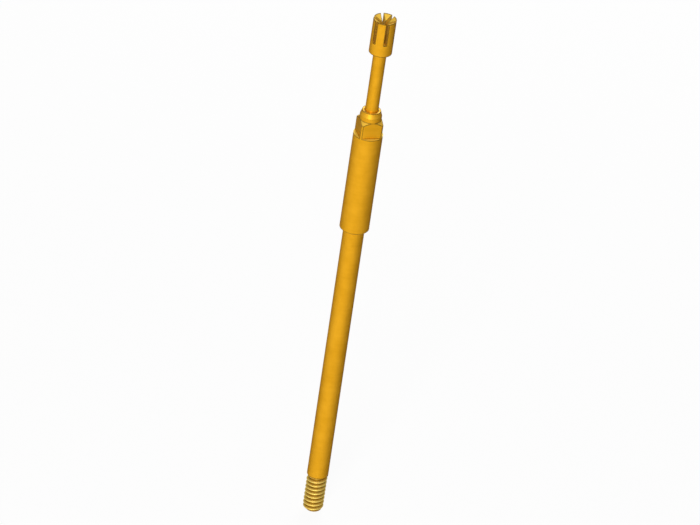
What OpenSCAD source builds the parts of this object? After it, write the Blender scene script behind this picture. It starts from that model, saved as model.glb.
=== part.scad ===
// Screw-in spring contact probe.
// A contact head on a spring-loaded plunger slides in a collar, which has a
// wrench square and a lip that is coned in round the shaft to keep the plunger
// in. A tube below the collar holds the spring, and a threaded stud closes the
// tube's lower end.
// Z runs along the probe and points up to the contact head. Z = 0 is the
// seat: the collar's lower shoulder, which rests on the mouth of the socket.

/* [Contact head] */
// Diameter of the contact head
head_d = 1.80; // [1.3:0.05:2.3]
// Length of the contact head
head_len = 2.92; // [2.4:0.01:5]
// Full angle of the conical cup in the end of the head
cup_angle = 120; // [90:5:150]
// Saw cuts through the axis, each of which leaves two slots in the head
saw_cuts = 3; // [1:1:4]
// Width of a saw cut
saw_cut_w = 0.23; // [0.1:0.01:0.3]
// Depth of a saw cut below the rim of the cup
saw_cut_depth = 1.91; // [0.8:0.01:2.2]

/* [Plunger] */
// Diameter of the plunger's shaft
shaft_d = 1.03; // [0.8:0.01:1.1]
// Stroke: how far the head can be pushed towards the mouth
stroke = 5.00; // [2:0.1:6]
// Gap left between the head and the mouth at full stroke
head_gap = 0.21; // [0.1:0.01:1]
// Gap left between the plunger's bearing and the tube at full stroke
bearing_gap = 0.20; // [0.1:0.01:0.5]
// Radial running clearance of the plunger in the collar's bore and its mouth
running_gap = 0.02; // [0.01:0.005:0.04]

/* [Collar] */
// Diameter of the collar
collar_d = 2.30; // [2.1:0.05:3]
// Length of the collar's round part, from the seat to the wrench square
collar_len = 8.50; // [6:0.1:12]
// Width of the wrench square across its flats
square_af = 1.74; // [1.6:0.01:1.9]
// Length of the wrench square
square_len = 1.37; // [0.8:0.01:3]
// Height of the cone over the square's corners
square_cone = 0.25; // [0.1:0.01:0.5]
// Diameter of the lip
lip_d = 1.72; // [1.6:0.01:1.9]
// Length of the lip's straight wall
lip_wall_len = 0.34; // [0.1:0.01:1]
// Height of the cone that closes the lip in
lip_cone = 0.41; // [0.1:0.01:0.6]
// Diameter of the flat top of the lip
lip_top_d = 1.46; // [1.3:0.01:1.5]
// Depth of the chamfer round the mouth
mouth_chamfer = 0.02; // [0.01:0.01:0.05]
// Thickness of the lip's roof over the plunger's bearing
roof_t = 0.44; // [0.3:0.01:0.6]
// Bore of the collar, for the plunger's bearing and the tube's spigot
collar_bore_d = 1.30; // [1.26:0.01:1.36]
// Depth of the recess in the collar's seat that takes the tube's shoulder
seat_recess = 0.10; // [0.05:0.01:0.15]

/* [Barrel tube] */
// Diameter of the tube
tube_d = 1.66; // [1.5:0.01:1.8]
// Bore of the tube
tube_bore_d = 1.06; // [0.98:0.01:1.1]
// Length of the tube below the collar's seat
tube_out = 22.50; // [15:0.5:40]
// Length of the spigot at the tube's upper end, inside the collar
tube_spigot_len = 1.50; // [0.5:0.1:2]
// Chamfer on the edges of turned ends
edge_break = 0.06; // [0.02:0.01:0.08]
// Radial gap in the pressed joints, too small to see
press_gap = 0.005; // [0.002:0.001:0.01]

/* [Threaded stud] */
// Outside diameter of the thread
thread_d = 1.60; // [1.4:0.1:1.6]
// Pitch of the thread
thread_pitch = 0.35; // [0.25:0.05:0.35]
// Distance from the tube's end to the crest of the first ridge
thread_start = 0.28; // [0.2:0.01:0.5]
// Length of the threaded end below the tube
thread_len = 3.06; // [2:0.01:8]
// Diameter of the thread's flat end
thread_tip_d = 1.27; // [1:0.01:1.35]
// Length of the taper at the thread's end
thread_taper = 0.24; // [0.1:0.01:0.4]
// Length of the stud's spigot inside the tube
stud_spigot_len = 2.50; // [1:0.1:4]

/* [Return spring] */
// Diameter of the spring's wire
wire_d = 0.18; // [0.12:0.01:0.2]
// Turns in the spring, closed ends included
spring_turns = 58; // [30:1:60]
// Closed turns at each end of the spring
closed_turns = 1.5; // [1:0.5:3]
// Gap between neighbouring closed turns and at the spring's seats
closed_gap = 0.02; // [0.01:0.01:0.05]
// Radial gap between the spring and the tube's bore
spring_gap = 0.05; // [0.03:0.01:0.08]
// Radial gap between the spring and the pilots that centre its ends
pilot_gap = 0.05; // [0.04:0.01:0.08]
// Length of the pilots
pilot_len = 0.80; // [0.3:0.05:1.2]

/* [Hidden] */
$fn = 96;

// Run of a cutter past the surface that it cuts
overrun = 0.5;
// Sides of the drawn spring wire, and steps in one of its turns
WIRE_SIDES = 6;
STEPS_PER_TURN = 10;

GOLD = [0.91, 0.66, 0.13];
PLATED_STEEL = [0.80, 0.74, 0.58];

// Fits
mouth_d = shaft_d + 2 * running_gap;
bearing_d = collar_bore_d - 2 * running_gap;
tube_spigot_r = collar_bore_d / 2 - press_gap;
stud_spigot_r = tube_bore_d / 2 - press_gap;
spring_d = tube_bore_d - 2 * spring_gap;
coil_r = (spring_d - wire_d) / 2;
pilot_d = spring_d - 2 * wire_d - 2 * pilot_gap;

// Thread form: 60 degree ridges, with round crests and flat roots
flank_angle = 30;
ridge_h = thread_pitch / 2 / tan(flank_angle);
crest_r = ridge_h / 8;
root_r = thread_d / 2 + crest_r - ridge_h * 5 / 6;

// Heights, from the tail up
z_tip = -tube_out - thread_len;
z_spring_seat = stud_spigot_len - tube_out;
z_bearing_end = tube_spigot_len + bearing_gap + stroke;
z_square_top = collar_len + square_len;
z_mouth = z_square_top + lip_wall_len + lip_cone;
z_roof = z_mouth - roof_t;
z_head = z_mouth + head_gap + stroke;
z_rim = z_head + head_len;
cup_depth = head_d / 2 / tan(cup_angle / 2);

// The plunger is one turned piece, with its end sawn into points.
module plunger() {
    color(GOLD)
    difference() {
        rotate_extrude() plunger_profile();
        for (cut = [0 : saw_cuts - 1])
            rotate([0, 0, 90 + cut * 180 / saw_cuts])
            translate([-head_d / 2 - overrun, -saw_cut_w / 2, z_rim - saw_cut_depth])
            cube([head_d + 2 * overrun, saw_cut_w, saw_cut_depth + overrun]);
    }
}

// Half section: spring pilot, bearing, shaft, head and cup.
module plunger_profile() {
    z_pilot_end = z_bearing_end - pilot_len;
    polygon([
        [0, z_pilot_end],
        [pilot_d / 2 - edge_break, z_pilot_end],
        [pilot_d / 2, z_pilot_end + edge_break],
        [pilot_d / 2, z_bearing_end],
        [bearing_d / 2 - edge_break, z_bearing_end],
        [bearing_d / 2, z_bearing_end + edge_break],
        [bearing_d / 2, z_roof],
        [shaft_d / 2, z_roof],
        [shaft_d / 2, z_head],
        [head_d / 2, z_head],
        [head_d / 2, z_rim],
        [0, z_rim - cup_depth]
    ]);
}

// The collar is turned, milled to a square and coned in at its mouth.
module screw_collar() {
    color(GOLD)
    difference() {
        rotate_extrude() collar_profile();
        for (side = [0 : 3])
            rotate([0, 0, 90 * side])
            translate([square_af / 2, -collar_d, collar_len])
            cube([collar_d, 2 * collar_d, square_len]);
    }
}

// Half section: seat, collar, cone over the square, lip, mouth, bore, recess.
module collar_profile() {
    recess_r = tube_d / 2 + press_gap;
    polygon([
        [recess_r, 0],
        [collar_d / 2 - edge_break, 0],
        [collar_d / 2, edge_break],
        [collar_d / 2, z_square_top - square_cone],
        [lip_d / 2, z_square_top],
        [lip_d / 2, z_square_top + lip_wall_len],
        [lip_top_d / 2, z_mouth],
        [mouth_d / 2 + mouth_chamfer, z_mouth],
        [mouth_d / 2, z_mouth - mouth_chamfer],
        [mouth_d / 2, z_roof],
        [collar_bore_d / 2, z_roof],
        [collar_bore_d / 2, seat_recess],
        [recess_r, seat_recess]
    ]);
}

// The tube's spigot is pressed into the collar until its shoulder meets the
// floor of the recess in the seat.
module barrel_tube() {
    color(GOLD)
    rotate_extrude()
    polygon([
        [tube_bore_d / 2, -tube_out],
        [tube_d / 2 - edge_break, -tube_out],
        [tube_d / 2, -tube_out + edge_break],
        [tube_d / 2, seat_recess],
        [tube_spigot_r, seat_recess],
        [tube_spigot_r, tube_spigot_len - edge_break],
        [tube_spigot_r - edge_break, tube_spigot_len],
        [tube_bore_d / 2, tube_spigot_len]
    ]);
}

// The stud's spigot is pressed into the tube, up to the stud's shoulder.
// The thread is drawn as rings at its pitch, without its helix.
module thread_stud() {
    color(GOLD)
    rotate_extrude() {
        stud_profile();
        intersection() {
            for (z = [-tube_out - thread_start : -thread_pitch : z_tip])
                thread_ridge(z);
            thread_envelope();
        }
    }
}

// Half section of the stud below the crests: thread core, spigot and pilot.
module stud_profile() {
    z_pilot_end = z_spring_seat + pilot_len;
    polygon([
        [0, z_tip],
        [root_r, z_tip],
        [root_r, -tube_out],
        [stud_spigot_r, -tube_out],
        [stud_spigot_r, z_spring_seat - edge_break],
        [stud_spigot_r - edge_break, z_spring_seat],
        [pilot_d / 2, z_spring_seat],
        [pilot_d / 2, z_pilot_end - edge_break],
        [pilot_d / 2 - edge_break, z_pilot_end],
        [0, z_pilot_end]
    ]);
}

// Half section of one ridge of the thread, with its crest at height z.
module thread_ridge(z) {
    crest_centre = thread_d / 2 - crest_r;
    tangent_x = crest_centre + crest_r * sin(flank_angle);
    tangent_z = crest_r * cos(flank_angle);
    foot = root_r / 2;
    foot_z = tangent_z + (tangent_x - foot) * tan(flank_angle);
    translate([0, z]) {
        polygon([[foot, -foot_z], [tangent_x, -tangent_z], [tangent_x, tangent_z], [foot, foot_z]]);
        translate([crest_centre, 0]) circle(crest_r);
    }
}

// Half section of the space that the thread's ridges keep to.
module thread_envelope() {
    polygon([
        [0, z_tip],
        [thread_tip_d / 2, z_tip],
        [thread_d / 2, z_tip + thread_taper],
        [thread_d, z_tip + thread_taper],
        [thread_d, -tube_out],
        [0, -tube_out]
    ]);
}

// Height of the wire's centre after a number of turns from the lower end.
// The end turns lie closed, and the rest share the length between them.
function wire_z(turn) =
    let (
        closed_pitch = wire_d + closed_gap,
        low = z_spring_seat + closed_gap + wire_d / 2,
        high = z_bearing_end - closed_gap - wire_d / 2,
        closed_rise = closed_turns * closed_pitch,
        open_turns = spring_turns - 2 * closed_turns,
        open_pitch = (high - low - 2 * closed_rise) / open_turns
    )
    turn < closed_turns ? low + turn * closed_pitch
    : turn > spring_turns - closed_turns ? high - (spring_turns - turn) * closed_pitch
    : low + closed_rise + (turn - closed_turns) * open_pitch;

// One ring of points round the wire, in the plane through the axis.
function wire_ring(step) =
    let (turn = step / STEPS_PER_TURN, around = 360 * turn, z = wire_z(turn))
    [for (side = [0 : WIRE_SIDES - 1])
        let (
            a = 360 * side / WIRE_SIDES,
            r = coil_r + wire_d / 2 * cos(a)
        )
        [r * cos(around), r * sin(around), z + wire_d / 2 * sin(a)]];

// A helical compression spring with closed ends.
module return_spring() {
    steps = spring_turns * STEPS_PER_TURN;
    points = [for (step = [0 : steps]) each wire_ring(step)];
    skin = [for (step = [0 : steps - 1], side = [0 : WIRE_SIDES - 1])
        let (
            next = (side + 1) % WIRE_SIDES,
            a = step * WIRE_SIDES + side,
            b = step * WIRE_SIDES + next,
            c = a + WIRE_SIDES,
            d = b + WIRE_SIDES
        )
        each [[a, b, c], [b, d, c]]];
    start_cap = [for (side = [WIRE_SIDES - 1 : -1 : 0]) side];
    end_cap = [for (side = [0 : WIRE_SIDES - 1]) steps * WIRE_SIDES + side];
    color(PLATED_STEEL)
    polyhedron(points, concat(skin, [start_cap, end_cap]));
}

plunger();
return_spring();
screw_collar();
barrel_tube();
thread_stud();
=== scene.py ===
"""The looks of the spring contact probe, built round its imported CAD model."""

import math

import bpy
from mathutils import Matrix, Vector


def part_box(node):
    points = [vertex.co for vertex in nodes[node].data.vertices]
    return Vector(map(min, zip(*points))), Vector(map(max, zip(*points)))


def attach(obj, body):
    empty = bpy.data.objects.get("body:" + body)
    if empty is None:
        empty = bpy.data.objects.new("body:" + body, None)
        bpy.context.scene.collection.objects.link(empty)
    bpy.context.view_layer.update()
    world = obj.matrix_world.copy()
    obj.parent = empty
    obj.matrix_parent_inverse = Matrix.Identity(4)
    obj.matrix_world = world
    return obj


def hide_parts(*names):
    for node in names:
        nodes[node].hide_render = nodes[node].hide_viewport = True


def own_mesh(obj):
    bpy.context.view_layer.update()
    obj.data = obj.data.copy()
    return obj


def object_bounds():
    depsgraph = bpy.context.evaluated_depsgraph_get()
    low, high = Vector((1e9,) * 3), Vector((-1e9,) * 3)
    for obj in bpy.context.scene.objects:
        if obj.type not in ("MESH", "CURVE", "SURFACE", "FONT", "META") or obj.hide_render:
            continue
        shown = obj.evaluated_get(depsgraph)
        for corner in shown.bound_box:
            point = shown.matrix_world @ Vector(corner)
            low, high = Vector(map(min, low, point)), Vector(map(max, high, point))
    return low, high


MM = 0.001

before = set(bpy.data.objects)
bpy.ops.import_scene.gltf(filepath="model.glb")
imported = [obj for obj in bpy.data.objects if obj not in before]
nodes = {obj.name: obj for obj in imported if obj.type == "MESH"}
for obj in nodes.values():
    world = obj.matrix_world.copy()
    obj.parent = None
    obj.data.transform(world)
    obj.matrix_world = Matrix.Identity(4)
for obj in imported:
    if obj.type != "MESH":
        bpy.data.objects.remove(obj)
cad_low, cad_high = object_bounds()

# ---------------------------------------------------------------- sizes, metres

THREAD_PITCH = 0.35 * MM
THREAD_START = 0.345 * MM
THREAD_TAPER = 0.24 * MM
THREAD_TIP_R = 0.635 * MM
THREAD_RUNOUT = 0.20 * MM
THREAD_PHASE = 0.25
FLANK_ANGLE = math.radians(30)
# The crest's radius and the thread's depth, as shares of the height of a sharp thread.
CREST_SHARE = 1 / 8
DEPTH_SHARE = 5 / 6
THREAD_SIDES = 120
ROWS_PER_PITCH = 28

WIRE_R = 0.09 * MM
WIRE_SIDES = 10
STEPS_PER_TURN = 30
SPRING_TURNS = 58
CLOSED_TURNS = 1.5
CLOSED_GAP = 0.02 * MM


# ---------------------------------------------------------------- mesh helpers


def smooth_object(name, vertices, faces):
    """A smooth-shaded mesh object from points and faces."""
    mesh = bpy.data.meshes.new(name)
    mesh.from_pydata(vertices, [], faces)
    mesh.validate()
    mesh.shade_smooth()
    obj = bpy.data.objects.new(name, mesh)
    bpy.context.scene.collection.objects.link(obj)
    return obj


def point_round_axis(r, angle, z):
    """The point at a radius, an angle and a height."""
    return (r * math.cos(angle), r * math.sin(angle), z)


def lofted_faces(rings, sides):
    """Quads between neighbouring rings of points, with a cap at each end."""
    faces = []
    for ring in range(rings - 1):
        for side in range(sides):
            a = ring * sides + side
            b = ring * sides + (side + 1) % sides
            faces.append((a, b, b + sides, a + sides))
    faces.append(tuple(reversed(range(sides))))
    faces.append(tuple((rings - 1) * sides + side for side in range(sides)))
    return faces


# ---------------------------------------------------------------- threaded stud


def thread_radius(turns_from_crest, outside_r):
    """Radius of a 60 degree thread, at a distance in pitches from its crest."""
    sharp_height = THREAD_PITCH / 2 / math.tan(FLANK_ANGLE)
    crest_r = sharp_height * CREST_SHARE
    root_r = outside_r + crest_r - sharp_height * DEPTH_SHARE
    along = abs((turns_from_crest + 0.5) % 1.0 - 0.5) * THREAD_PITCH
    if along < crest_r * math.cos(FLANK_ANGLE):
        return outside_r - crest_r + math.sqrt(crest_r**2 - along**2)
    flank = outside_r + crest_r - along / math.tan(FLANK_ANGLE)
    return max(flank, root_r)


def spigot_profile(solid, bottom):
    """Heights and radii of the stud's spigot above a height, from its CAD solid."""
    margin = 0.001 * MM
    corners = [vertex.co for vertex in solid.data.vertices if vertex.co.z > bottom + margin]
    # Rounded to the micrometre, so that all corners of one ring are one point.
    profile = {(round(corner.z, 6), round(corner.xy.length, 6)) for corner in corners}
    widest = max(r for z, r in profile)
    return [(bottom, widest)] + sorted(profile, key=lambda point: (point[0], -point[1]))


def build_stud():
    """The stud: a spigot, and a right-hand thread that runs out at the tube and at its tip."""
    low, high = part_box("thread_stud")
    tube_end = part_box("barrel_tube")[0].z
    outside_r = high.x
    root_r = thread_radius(0.5, outside_r)
    angles = [math.tau * side / THREAD_SIDES for side in range(THREAD_SIDES)]
    rows = round((tube_end - low.z) / THREAD_PITCH * ROWS_PER_PITCH)
    vertices = []
    for row in range(rows + 1):
        z = low.z + (tube_end - low.z) * row / rows
        taper = THREAD_TIP_R + (outside_r - THREAD_TIP_R) * (z - low.z) / THREAD_TAPER
        runout = root_r + (outside_r - root_r) * (tube_end - z) / THREAD_RUNOUT
        for angle in angles:
            crest_z = tube_end - THREAD_START + THREAD_PITCH * (angle / math.tau + THREAD_PHASE)
            r = min(thread_radius((z - crest_z) / THREAD_PITCH, outside_r), taper, runout)
            vertices.append(point_round_axis(r, angle, z))
    profile = spigot_profile(nodes["thread_stud"], tube_end)
    for z, r in profile:
        vertices.extend(point_round_axis(r, angle, z) for angle in angles)
    return smooth_object("stud", vertices, lofted_faces(rows + 1 + len(profile), THREAD_SIDES))


# ---------------------------------------------------------------- return spring


def wire_height(turn, low, high):
    """Height of the wire's centre after a number of turns, with closed end turns."""
    closed_pitch = 2 * WIRE_R + CLOSED_GAP
    closed_rise = CLOSED_TURNS * closed_pitch
    first = low + WIRE_R
    last = high - WIRE_R
    if turn < CLOSED_TURNS:
        return first + turn * closed_pitch
    if turn > SPRING_TURNS - CLOSED_TURNS:
        return last - (SPRING_TURNS - turn) * closed_pitch
    open_pitch = (last - first - 2 * closed_rise) / (SPRING_TURNS - 2 * CLOSED_TURNS)
    return first + closed_rise + (turn - CLOSED_TURNS) * open_pitch


def build_spring():
    """The return spring in round wire."""
    low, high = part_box("return_spring")
    coil_r = high.x - WIRE_R
    rings = SPRING_TURNS * STEPS_PER_TURN + 1
    vertices = []
    for ring in range(rings):
        turn = ring / STEPS_PER_TURN
        z = wire_height(turn, low.z, high.z)
        for side in range(WIRE_SIDES):
            angle = math.tau * side / WIRE_SIDES
            r = coil_r + WIRE_R * math.cos(angle)
            height = z + WIRE_R * math.sin(angle)
            vertices.append(point_round_axis(r, math.tau * turn, height))
    return smooth_object("spring_coil", vertices, lofted_faces(rings, WIRE_SIDES))


# ---------------------------------------------------------------- shader helpers


def new_material(name):
    """A material that uses nodes."""
    material = bpy.data.materials.new(name)
    material.use_nodes = True
    return material


def set_input(tree, socket, value):
    """Link a socket to another one, or set its value."""
    if isinstance(value, bpy.types.NodeSocket):
        tree.links.new(value, socket)
    else:
        socket.default_value = value


def add_node(tree, kind, inputs=None, **settings):
    """A shader node, with its settings made and its inputs linked or set."""
    node = tree.nodes.new("ShaderNode" + kind)
    for name, value in settings.items():
        setattr(node, name, value)
    for name, value in (inputs or {}).items():
        set_input(tree, node.inputs[name], value)
    return node


def calculate(tree, operation, first, second=0.0):
    """The result of one sum on two sockets or numbers."""
    return add_node(tree, "Math", {0: first, 1: second}, operation=operation).outputs[0]


def remap(tree, value, from_min, from_max, to_min, to_max):
    """A value taken from one range to another, and held within it."""
    inputs = {
        "Value": value,
        "From Min": from_min,
        "From Max": from_max,
        "To Min": to_min,
        "To Max": to_max,
    }
    return add_node(tree, "MapRange", inputs).outputs["Result"]


def mix_colour(tree, factor, first, second):
    """A colour between two others."""
    node = add_node(tree, "Mix", data_type="RGBA")
    inputs = {socket.identifier: socket for socket in node.inputs}
    outputs = {socket.identifier: socket for socket in node.outputs}
    set_input(tree, inputs["Factor_Float"], factor)
    set_input(tree, inputs["A_Color"], first)
    set_input(tree, inputs["B_Color"], second)
    return outputs["Result_Color"]


def noise(tree, place, scale, detail):
    """Noise from 0 to 1 at a place, with scale in features to the millimetre."""
    inputs = {"Vector": place, "Scale": scale, "Detail": detail}
    return add_node(tree, "TexNoise", inputs).outputs["Fac"]


def spread(tree, value, reach, to_min, to_max):
    """Noise taken from a reach on both sides of its middle to another range."""
    return remap(tree, value, 0.5 - reach, 0.5 + reach, to_min, to_max)


# ---------------------------------------------------------------- materials

METALLIC = 0.7
END_METALLIC = 0.3
SPECULAR = 0.2
EDGE_TINT = (0.35, 0.35, 0.35, 1)
ROUGHNESS = 0.40
THREAD_ROUGHNESS = 0.47
MARK_ROUGHNESS = 0.05
GRAIN_ROUGHNESS = 0.03

# Deep, middle and pale tone of each plate.
GOLD = ((0.70, 0.325, 0.008, 1), (0.81, 0.385, 0.010, 1), (0.90, 0.45, 0.022, 1))
PLATED_WIRE = ((0.62, 0.55, 0.40, 1), (0.72, 0.65, 0.48, 1), (0.80, 0.74, 0.58, 1))
# Painted light: a paler tone on the faces that look along the axis.
PAINTED_END_LIGHT = (0.96, 0.60, 0.07, 1)
# Painted light on the steps at the feet of the wrench square's flats.
STEP_PAINTED_LIGHT = (1.0, 0.78, 0.12, 1)
# Painted light: a paler tone on the saw cuts' walls, against their reddened inner reflections.
CUT_PAINTED_LIGHT = (0.80, 0.54, 0.085, 1)
# Painted shade along the edges and in the creases.
EDGE_AND_CREASE_SHADE = (0.17, 0.095, 0.010, 1)
# Painted shade in the thread's root and a painted highlight on its crest.
THREAD_ROOT_SHADE = (0.33, 0.18, 0.012, 1)
THREAD_CREST_HIGHLIGHT = (1.0, 0.76, 0.19, 1)

# Features of each noise to the millimetre.
CLOUDS = 0.9
PATCHES = 3.0
BANDS = 4.0
MARKS = 22.0
GRAIN = 45.0
# How slowly the noise of a turned surface changes round its axis.
ROUND_SPEED = 0.05

# How far on both sides of its middle a noise is used, and how much it changes the tone.
CLOUD_REACH = 0.15
NOISE_REACH = 0.2
MIDDLE_SHARE = 0.55
BAND_SHARE = 0.3
PATCH_SHARE = 0.2

GRAIN_DEPTH = 0.0006 * MM
THREAD_GRAIN_DEPTH = 0.0004 * MM
TURNED_DEPTH = 0.0010 * MM
MILLED_DEPTH = 0.0012 * MM
DRAWN_DEPTH = 0.0006 * MM

# How wide and how dark the painted shade along the edges and in the creases is.
EDGE_WIDTH = 0.12 * MM
EDGE_SAMPLES = 8
EDGE_DARK = 0.9
# Cosines between the rounded and the plain surface, in the middle and at the rim of an edge.
EDGE_COSINES = (0.965, 0.998)
# Shares of a face's direction that lie along the axis, on a wall and on an end.
END_SLOPES = (0.2, 0.9)

# Millimetres. The saw cuts' paler painted light reaches this far down from the contact head's top,
# and starts between these depths under its outside.
CUT_ZONE = 2.5
CUT_ZONE_FADE = 0.1
CUT_SKIN = (0.03, 0.01)

# Millimetres. The height of the steps at the feet of the wrench square's flats, and how far
# from it their painted light holds and ends.
STEP_HEIGHT = 8.5
STEP_FADE = (0.01, 0.03)
STEP_SHARE = 0.8

# Millimetres under the crest, where the root's painted shade ends and where the crest's painted
# highlight begins.
THREAD_DEPTHS = (0.19, 0.01)


def place_in_mm(tree):
    """The place on the piece, in millimetres."""
    place = add_node(tree, "TexCoord").outputs["Object"]
    return add_node(tree, "VectorMath", {0: place, "Scale": 1 / MM}, operation="SCALE").outputs[0]


def height_of(tree, place):
    """The part of a place that lies along the probe's axis."""
    return add_node(tree, "SeparateXYZ", {0: place}).outputs[2]


def place_across_axis(tree, place):
    """The part of a place that lies across the probe's axis."""
    parts = add_node(tree, "SeparateXYZ", {0: place})
    return add_node(tree, "CombineXYZ", {0: parts.outputs[0], 1: parts.outputs[1]}).outputs[0]


def distance_from_axis(tree, place):
    """How far a place is from the probe's axis."""
    across = place_across_axis(tree, place)
    return add_node(tree, "VectorMath", {0: across}, operation="LENGTH").outputs["Value"]


def place_round_axis(tree, place):
    """A place that changes fast along the axis and slowly round it, for turned surfaces."""
    across = place_across_axis(tree, place)
    outward = add_node(tree, "VectorMath", {0: across}, operation="NORMALIZE").outputs[0]
    slow = add_node(tree, "VectorMath", {0: outward, "Scale": ROUND_SPEED}, operation="SCALE")
    along = add_node(tree, "CombineXYZ", {2: height_of(tree, place)}).outputs[0]
    return add_node(tree, "VectorMath", {0: slow.outputs[0], 1: along}, operation="ADD").outputs[0]


def edge_shade_mask(tree):
    """1 on the edges and in the creases, where shade is painted, 0 elsewhere."""
    rounded = add_node(tree, "Bevel", {"Radius": EDGE_WIDTH}, samples=EDGE_SAMPLES).outputs[0]
    normal = add_node(tree, "NewGeometry").outputs["Normal"]
    cosine = add_node(tree, "VectorMath", {0: rounded, 1: normal}, operation="DOT_PRODUCT")
    return remap(tree, cosine.outputs["Value"], *EDGE_COSINES, 1.0, 0.0)


def end_face_mask(tree):
    """1 on the faces that look along the axis, where light is painted, 0 on the walls."""
    normal = add_node(tree, "NewGeometry").outputs["True Normal"]
    along = calculate(tree, "ABSOLUTE", height_of(tree, normal))
    return remap(tree, along, *END_SLOPES, 0.0, 1.0)


def cut_mask(tree, place, ends):
    """1 on the walls of the contact head's saw cuts, where paler light is painted, 0 elsewhere."""
    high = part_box("plunger")[1] / MM
    deepest, shallowest = CUT_SKIN
    r = distance_from_axis(tree, place)
    inside = remap(tree, r, high.x - deepest, high.x - shallowest, 1.0, 0.0)
    bottom = high.z - CUT_ZONE
    in_head = remap(tree, height_of(tree, place), bottom - CUT_ZONE_FADE, bottom, 0.0, 1.0)
    return calculate(tree, "SUBTRACT", calculate(tree, "MULTIPLY", inside, in_head), ends)


def step_mask(tree, place, ends):
    """STEP_SHARE on the steps at the feet of the wrench square's flats, where light is painted, 0
    elsewhere.
    """
    offset = calculate(tree, "SUBTRACT", height_of(tree, place), STEP_HEIGHT)
    near = remap(tree, calculate(tree, "ABSOLUTE", offset), *STEP_FADE, STEP_SHARE, 0.0)
    return calculate(tree, "MULTIPLY", ends, near)


def plate_tone(tree, plate, clouds, bands):
    """The colour of a plate, with slow clouds and bands of tone."""
    deep, middle, pale = plate
    tone = mix_colour(tree, spread(tree, clouds, CLOUD_REACH, 0.0, 1.0), deep, pale)
    tone = mix_colour(tree, MIDDLE_SHARE, tone, middle)
    return mix_colour(tree, spread(tree, bands, NOISE_REACH, 0.0, BAND_SHARE), tone, pale)


def set_gloss(shader):
    """The gloss that all plated pieces share."""
    shader.inputs["Specular Tint"].default_value = EDGE_TINT
    shader.inputs["Specular IOR Level"].default_value = SPECULAR


def plated_material(name, plate, end_light_tone, mark_depth, light_patch=None):
    """Plate over a turned surface, with painted light on the ends and one patch, and painted shade
    on the edges and creases.
    """
    material = new_material(name)
    tree = material.node_tree
    shader = tree.nodes["Principled BSDF"]
    place = place_in_mm(tree)
    turned = place_round_axis(tree, place)
    marks = noise(tree, turned, MARKS, 4)
    grain = noise(tree, place, GRAIN, 2)
    ends = end_face_mask(tree)

    tone = plate_tone(tree, plate, noise(tree, place, CLOUDS, 3), noise(tree, turned, BANDS, 3))
    # Painted light: the faces that look along the axis are paler.
    tone = mix_colour(tree, ends, tone, end_light_tone)
    # Painted shade along the edges and in the creases.
    edges = calculate(tree, "MULTIPLY", edge_shade_mask(tree), EDGE_DARK)
    tone = mix_colour(tree, edges, tone, EDGE_AND_CREASE_SHADE)
    if light_patch:
        light_patch_mask, light_patch_tone = light_patch
        # Painted light on one patch: the saw cuts' walls or the steps.
        tone = mix_colour(tree, light_patch_mask(tree, place, ends), tone, light_patch_tone)
    set_input(tree, shader.inputs["Base Color"], tone)
    metal = remap(tree, ends, 0.0, 1.0, METALLIC, END_METALLIC)
    set_input(tree, shader.inputs["Metallic"], metal)
    set_gloss(shader)

    smoothest = ROUGHNESS - MARK_ROUGHNESS
    roughest = ROUGHNESS + MARK_ROUGHNESS
    rough = spread(tree, marks, NOISE_REACH, smoothest, roughest)
    change = spread(tree, grain, NOISE_REACH, -GRAIN_ROUGHNESS, GRAIN_ROUGHNESS)
    set_input(tree, shader.inputs["Roughness"], calculate(tree, "ADD", rough, change))
    fine = add_node(tree, "Bump", {"Height": grain, "Distance": GRAIN_DEPTH, "Strength": 1.0})
    lines = {"Height": marks, "Distance": mark_depth, "Strength": 1.0, "Normal": fine.outputs[0]}
    set_input(tree, shader.inputs["Normal"], add_node(tree, "Bump", lines).outputs[0])
    return material


def thread_material():
    """Gold plate on the thread, with painted shade in the root and a painted highlight on the
    crest.
    """
    material = new_material("stud_gold")
    tree = material.node_tree
    shader = tree.nodes["Principled BSDF"]
    place = place_in_mm(tree)
    grain = noise(tree, place, GRAIN, 2)

    crest_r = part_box("thread_stud")[1].x / MM
    root_depth, crest_depth = THREAD_DEPTHS
    r = distance_from_axis(tree, place)
    height = remap(tree, r, crest_r - root_depth, crest_r - crest_depth, 0.0, 1.0)
    # Painted shade in the root, painted highlight on the crest.
    tone = mix_colour(tree, height, THREAD_ROOT_SHADE, THREAD_CREST_HIGHLIGHT)
    patches = spread(tree, noise(tree, place, PATCHES, 3), CLOUD_REACH, 0.0, PATCH_SHARE)
    tone = mix_colour(tree, patches, tone, GOLD[1])
    set_input(tree, shader.inputs["Base Color"], tone)
    set_input(tree, shader.inputs["Metallic"], METALLIC)
    set_gloss(shader)

    smoothest = THREAD_ROUGHNESS - MARK_ROUGHNESS
    roughest = THREAD_ROUGHNESS + MARK_ROUGHNESS
    rough = spread(tree, grain, NOISE_REACH, smoothest, roughest)
    set_input(tree, shader.inputs["Roughness"], rough)
    fine = {"Height": grain, "Distance": THREAD_GRAIN_DEPTH, "Strength": 1.0}
    set_input(tree, shader.inputs["Normal"], add_node(tree, "Bump", fine).outputs[0])
    return material


# ---------------------------------------------------------------- stage

# Degrees.
CAMERA_AZIMUTH = -19
CAMERA_ELEVATION = 31
CAMERA_ROLL = 8.46

# Blender takes the lens and the sensor in millimetres.
LENS = 1000
SENSOR = 36
VIEW_WIDTH = 53.85 * MM
AIM_RIGHT = 0.108 * MM
AIM_UP = 0.187 * MM

WHITE = (1, 1, 1, 1)
FLOOR_WHITE = (0.9, 0.9, 0.9, 1)
FLOOR_GLOW = 0.93
FLOOR_HALF = 0.6
AMBIENT = 0.15

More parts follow.
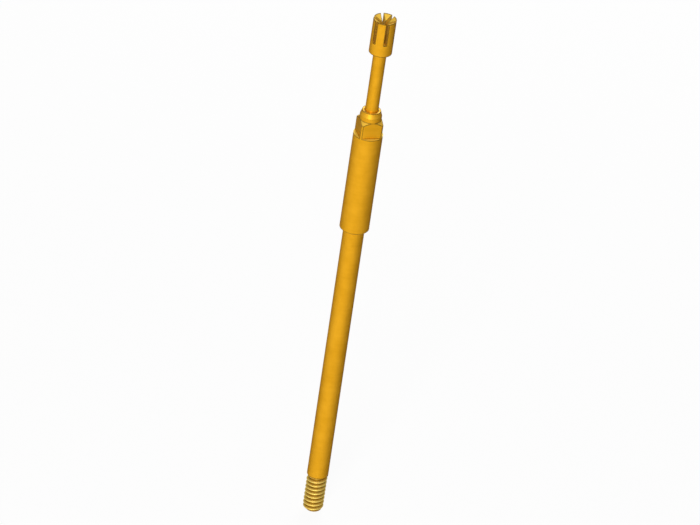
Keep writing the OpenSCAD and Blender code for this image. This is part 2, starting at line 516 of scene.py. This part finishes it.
# Name, azimuth and elevation in degrees, side in metres and power in watts.
SOFTBOXES = (
    ("key", -29, 30, 0.05, 0.255),
    ("back", 150, 50, 0.08, 0.15),
    ("back_fill", 165, 8, 0.08, 0.15),
)
SOFTBOX_DISTANCE = 0.20

# Azimuth in degrees from the camera's side, and how bright the tent is there.
TENT_TONES = (
    (-180, 0.9), (-165, 0.7), (-155, 0.4), (-145, 0.35), (-108, 0.42), (-80, 0.72),
    (-40, 0.96), (0, 0.97), (18, 0.88), (37, 0.74), (57, 0.54), (81, 0.32),
    (108, 0.25), (145, 0.25), (155, 0.35), (165, 0.7), (180, 0.9),
)
TENT_RADIUS = 4 * MM
TENT_SIDES = 120


def middle_of_probe():
    """The middle of the probe's axis."""
    return Vector((0, 0, (cad_low.z + cad_high.z) / 2))


def view_direction(azimuth, elevation):
    """Unit vector from the object towards a viewer at these angles, in degrees."""
    a = math.radians(azimuth)
    e = math.radians(elevation)
    return Vector((math.sin(a) * math.cos(e), -math.cos(a) * math.cos(e), math.sin(e)))


def add_camera():
    """A long lens on the photograph's line of sight, rolled so that the probe leans."""
    distance = VIEW_WIDTH * LENS / SENSOR
    back = view_direction(CAMERA_AZIMUTH, CAMERA_ELEVATION)
    roll = Matrix.Rotation(math.radians(CAMERA_ROLL), 3, "Z")
    turn = (-back).to_track_quat("-Z", "Y").to_matrix() @ roll
    aim = middle_of_probe() + turn @ Vector((AIM_RIGHT, AIM_UP, 0))
    data = bpy.data.cameras.new("camera")
    data.lens = LENS
    data.sensor_width = SENSOR
    data.clip_start = distance / 10
    data.clip_end = distance * 10
    camera = bpy.data.objects.new("camera", data)
    camera.matrix_world = Matrix.Translation(aim + back * distance) @ turn.to_4x4()
    bpy.context.scene.collection.objects.link(camera)
    bpy.context.scene.camera = camera


def seen_directly(tree):
    """1 for camera, glossy and transmission rays, 0 for the light that falls on things."""
    path = add_node(tree, "LightPath").outputs
    either = calculate(tree, "MAXIMUM", path["Is Camera Ray"], path["Is Glossy Ray"])
    return calculate(tree, "MAXIMUM", either, path["Is Transmission Ray"])


def add_world():
    """White wherever it is seen, and dimmer as the light that fills the shadows."""
    world = bpy.data.worlds.new("world")
    bpy.context.scene.world = world
    world.use_nodes = True
    tree = world.node_tree
    background = tree.nodes["Background"]
    background.inputs["Color"].default_value = WHITE
    strength = remap(tree, seen_directly(tree), 0.0, 1.0, AMBIENT, 1.0)
    set_input(tree, background.inputs["Strength"], strength)


def add_floor():
    """A plain white floor that keeps a faint shadow."""
    signs = ((-1, -1), (1, -1), (1, 1), (-1, 1))
    corners = [(x * FLOOR_HALF, y * FLOOR_HALF, cad_low.z) for x, y in signs]
    floor = smooth_object("floor", corners, [(0, 1, 2, 3)])
    material = new_material("floor")
    tree = material.node_tree
    tree.nodes.clear()
    matt = add_node(tree, "BsdfDiffuse", {"Color": FLOOR_WHITE}).outputs[0]
    glow = add_node(tree, "Emission", {"Color": WHITE, "Strength": 1.0}).outputs[0]
    share = calculate(tree, "MULTIPLY", seen_directly(tree), FLOOR_GLOW)
    mix = add_node(tree, "MixShader", {0: share, 1: matt, 2: glow}).outputs[0]
    add_node(tree, "OutputMaterial", {"Surface": mix})
    floor.data.materials.append(material)


def add_softbox(name, azimuth, elevation, side, power):
    """A square lamp that faces the object's middle."""
    data = bpy.data.lights.new(name, "AREA")
    data.shape = "SQUARE"
    data.size = side
    data.energy = power
    lamp = bpy.data.objects.new(name, data)
    direction = view_direction(azimuth, elevation)
    place = Matrix.Translation(middle_of_probe() + direction * SOFTBOX_DISTANCE)
    lamp.matrix_world = place @ direction.to_track_quat("Z", "Y").to_matrix().to_4x4()
    lamp.visible_camera = False
    bpy.context.scene.collection.objects.link(lamp)


def tone_towards(azimuth):
    """How bright the tent is at an azimuth from the camera's side."""
    for (first, first_tone), (last, last_tone) in zip(TENT_TONES, TENT_TONES[1:]):
        if azimuth <= last:
            share = (azimuth - first) / (last - first)
            return first_tone + (last_tone - first_tone) * share
    return TENT_TONES[-1][1]


def add_tent():
    """A paper tent round the probe, white in front and grey at the sides, seen only in gloss."""
    points = []
    tones = []
    for side in range(TENT_SIDES + 1):
        azimuth = 360 * side / TENT_SIDES - 180
        direction = view_direction(CAMERA_AZIMUTH + azimuth, 0)
        for z in (cad_low.z, cad_high.z + TENT_RADIUS):
            points.append((direction.x * TENT_RADIUS, direction.y * TENT_RADIUS, z))
            tones.append(tone_towards(azimuth))
    faces = [(2 * i, 2 * i + 2, 2 * i + 3, 2 * i + 1) for i in range(TENT_SIDES)]
    tent = smooth_object("tent", points, faces)
    tent.data.attributes.new("tone", "FLOAT", "POINT").data.foreach_set("value", tones)
    material = new_material("tent_paper")
    tree = material.node_tree
    tree.nodes.clear()
    tone = add_node(tree, "Attribute", attribute_name="tone").outputs["Fac"]
    glow = add_node(tree, "Emission", {"Strength": tone}).outputs[0]
    add_node(tree, "OutputMaterial", {"Surface": glow})
    tent.data.materials.append(material)
    tent.visible_camera = False
    tent.visible_diffuse = False
    tent.visible_shadow = False
    tent.visible_transmission = False


# ---------------------------------------------------------------- assembly


def dress(piece, material):
    """Give a piece its only material."""
    piece.data.materials.clear()
    piece.data.materials.append(material)


add_camera()
add_world()
add_floor()
for softbox in SOFTBOXES:
    add_softbox(*softbox)
add_tent()

stud = build_stud()
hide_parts("thread_stud")
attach(stud, "barrel")

spring = build_spring()
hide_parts("return_spring")
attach(spring, "barrel")
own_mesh(spring)

cuts = (cut_mask, CUT_PAINTED_LIGHT)
steps = (step_mask, STEP_PAINTED_LIGHT)
dress(nodes["plunger"], plated_material("plunger_gold", GOLD, PAINTED_END_LIGHT, TURNED_DEPTH, cuts))
dress(nodes["screw_collar"], plated_material("collar_gold", GOLD, PAINTED_END_LIGHT, MILLED_DEPTH, steps))
dress(nodes["barrel_tube"], plated_material("tube_gold", GOLD, PAINTED_END_LIGHT, TURNED_DEPTH))
dress(stud, thread_material())
# The wire's pale tone goes on its faces that look along the axis, as painted light.
dress(spring, plated_material("spring_wire", PLATED_WIRE, PLATED_WIRE[2], DRAWN_DEPTH))

bpy.context.scene.view_settings.view_transform = "Standard"
